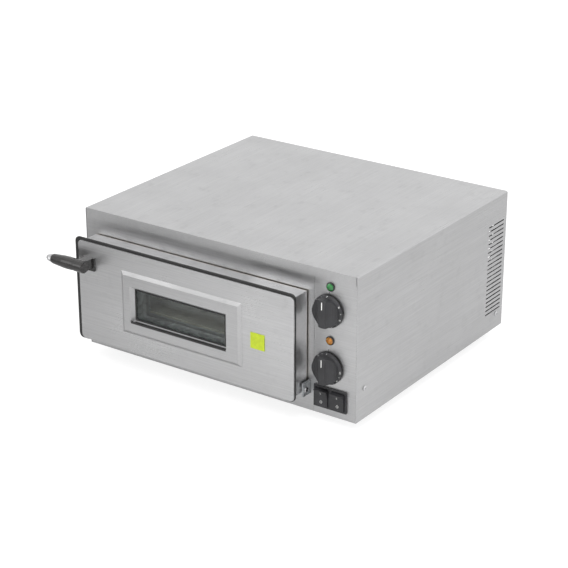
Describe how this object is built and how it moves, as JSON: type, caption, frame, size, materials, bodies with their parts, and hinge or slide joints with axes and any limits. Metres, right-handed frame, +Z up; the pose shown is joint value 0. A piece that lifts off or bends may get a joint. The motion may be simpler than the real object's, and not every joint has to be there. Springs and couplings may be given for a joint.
{
  "type": "countertop pizza oven",
  "caption": "Low stainless worktop pizza oven with a drop-down glazed door, side handle, stone-floored chamber and a right-hand control column.",
  "frame": {"origin": "bottom centre of the oven's envelope, on the worktop under the feet", "axes": "+Z up, -Y out of the front of the oven where the door is, +X to the right seen from the front, where the controls are"},
  "size_m": [0.592, 0.6222, 0.276],
  "materials": {
    "brushed_stainless": "fine horizontal brushed grain, satin",
    "door_stainless": "brushed grain, a little brighter than the casing",
    "chamber_steel": "satin sheet, straw tint from heat",
    "galvanised_sheet": "dull zinc spangle",
    "bright_steel": "machined bright steel",
    "mineral_wool": "matted fibre blanket",
    "cordierite": "rough fired slab with a fine speckle",
    "element_sheath": "heat-darkened sheath, matt",
    "copper_alloy": "drawn tube, slightly tarnished",
    "clear_glass": "clear pressed glass",
    "dark_glass": "tempered glass with a grey tint",
    "black_plastic": "fine moulded texture",
    "phenolic": "semi-gloss black phenolic",
    "white_plastic": "moulded",
    "black_rubber": "matt black",
    "green_lens": "moulded translucent lens",
    "amber_lens": "moulded translucent lens",
    "yellow_label": "plain printed patch, no text"
  },
  "bodies": {
    "oven_body": {"casing_wrap": "brushed_stainless", "base_pan": "galvanised_sheet", "rear_panel": "brushed_stainless", "front_frame": "brushed_stainless", "control_panel": "brushed_stainless", "compartment_wall": "galvanised_sheet", "foot_front_left": "black_rubber", "foot_front_right": "black_rubber", "foot_rear_left": "black_rubber", "foot_rear_right": "black_rubber", "casing_screw_left_front": "bright_steel", "casing_screw_left_rear": "bright_steel", "casing_screw_right_front": "bright_steel", "casing_screw_right_rear": "bright_steel", "chamber_liner": "chamber_steel", "chamber_insulation": "mineral_wool", "baking_stone": "cordierite", "stone_rail_left": "chamber_steel", "stone_rail_right": "chamber_steel", "lower_heater": "element_sheath", "upper_heater": "element_sheath", "thermostat_bulb": "copper_alloy", "lamp_housing": "galvanised_sheet", "lamp_bulb": "clear_glass", "lamp_lens": "clear_glass", "timer_unit": "galvanised_sheet", "thermostat_unit": "galvanised_sheet", "power_lamp": "green_lens", "heating_lamp": "amber_lens", "switch_housing": "black_plastic", "terminal_block": "white_plastic", "wiring_loom": "black_plastic", "cord_gland": "black_plastic", "power_cord": "black_rubber", "power_plug": "black_plastic", "hinge_bracket_left": "galvanised_sheet", "hinge_pin_left": "bright_steel", "hinge_bracket_right": "galvanised_sheet", "hinge_pin_right": "bright_steel"},
    "door": {"door_skin": "door_stainless", "door_inner_pan": "door_stainless", "door_insulation": "mineral_wool", "door_gasket": "black_rubber", "window_bezel": "door_stainless", "window_outer_glass": "dark_glass", "window_inner_glass": "dark_glass", "window_retainer": "galvanised_sheet", "window_gasket": "black_rubber", "window_sill_seal": "black_rubber", "handle_bracket": "phenolic", "handle_rod": "bright_steel", "handle_grip": "phenolic", "handle_cap_nut": "bright_steel", "door_label": "yellow_label"},
    "timer_dial": {"timer_knob": "black_plastic", "timer_shaft": "copper_alloy"},
    "thermostat_dial": {"thermostat_knob": "black_plastic", "thermostat_shaft": "copper_alloy"},
    "power_key": {"power_rocker": "black_plastic"},
    "light_key": {"light_rocker": "black_plastic"}
  },
  "joints": [
    {"name": "door_hinge", "type": "hinge", "parent": "oven_body", "child": "door", "pos_m": [-0.02228, -0.2429, 0.063], "axis": [1, 0, 0], "range_deg": [0, 80]},
    {"name": "timer_turn", "type": "hinge", "parent": "oven_body", "child": "timer_dial", "pos_m": [0.23922, -0.2289, 0.2065], "axis": [0, 1, 0], "range_deg": [0, 300]},
    {"name": "thermostat_turn", "type": "hinge", "parent": "oven_body", "child": "thermostat_dial", "pos_m": [0.23922, -0.2289, 0.106], "axis": [0, 1, 0], "range_deg": [0, 270]},
    {"name": "power_key_tilt", "type": "hinge", "parent": "oven_body", "child": "power_key", "pos_m": [0.22847, -0.2269, 0.052], "axis": [-1, 0, 0], "range_deg": [0, 16]},
    {"name": "light_key_tilt", "type": "hinge", "parent": "oven_body", "child": "light_key", "pos_m": [0.25997, -0.2269, 0.052], "axis": [-1, 0, 0], "range_deg": [0, 16]}
  ]
}
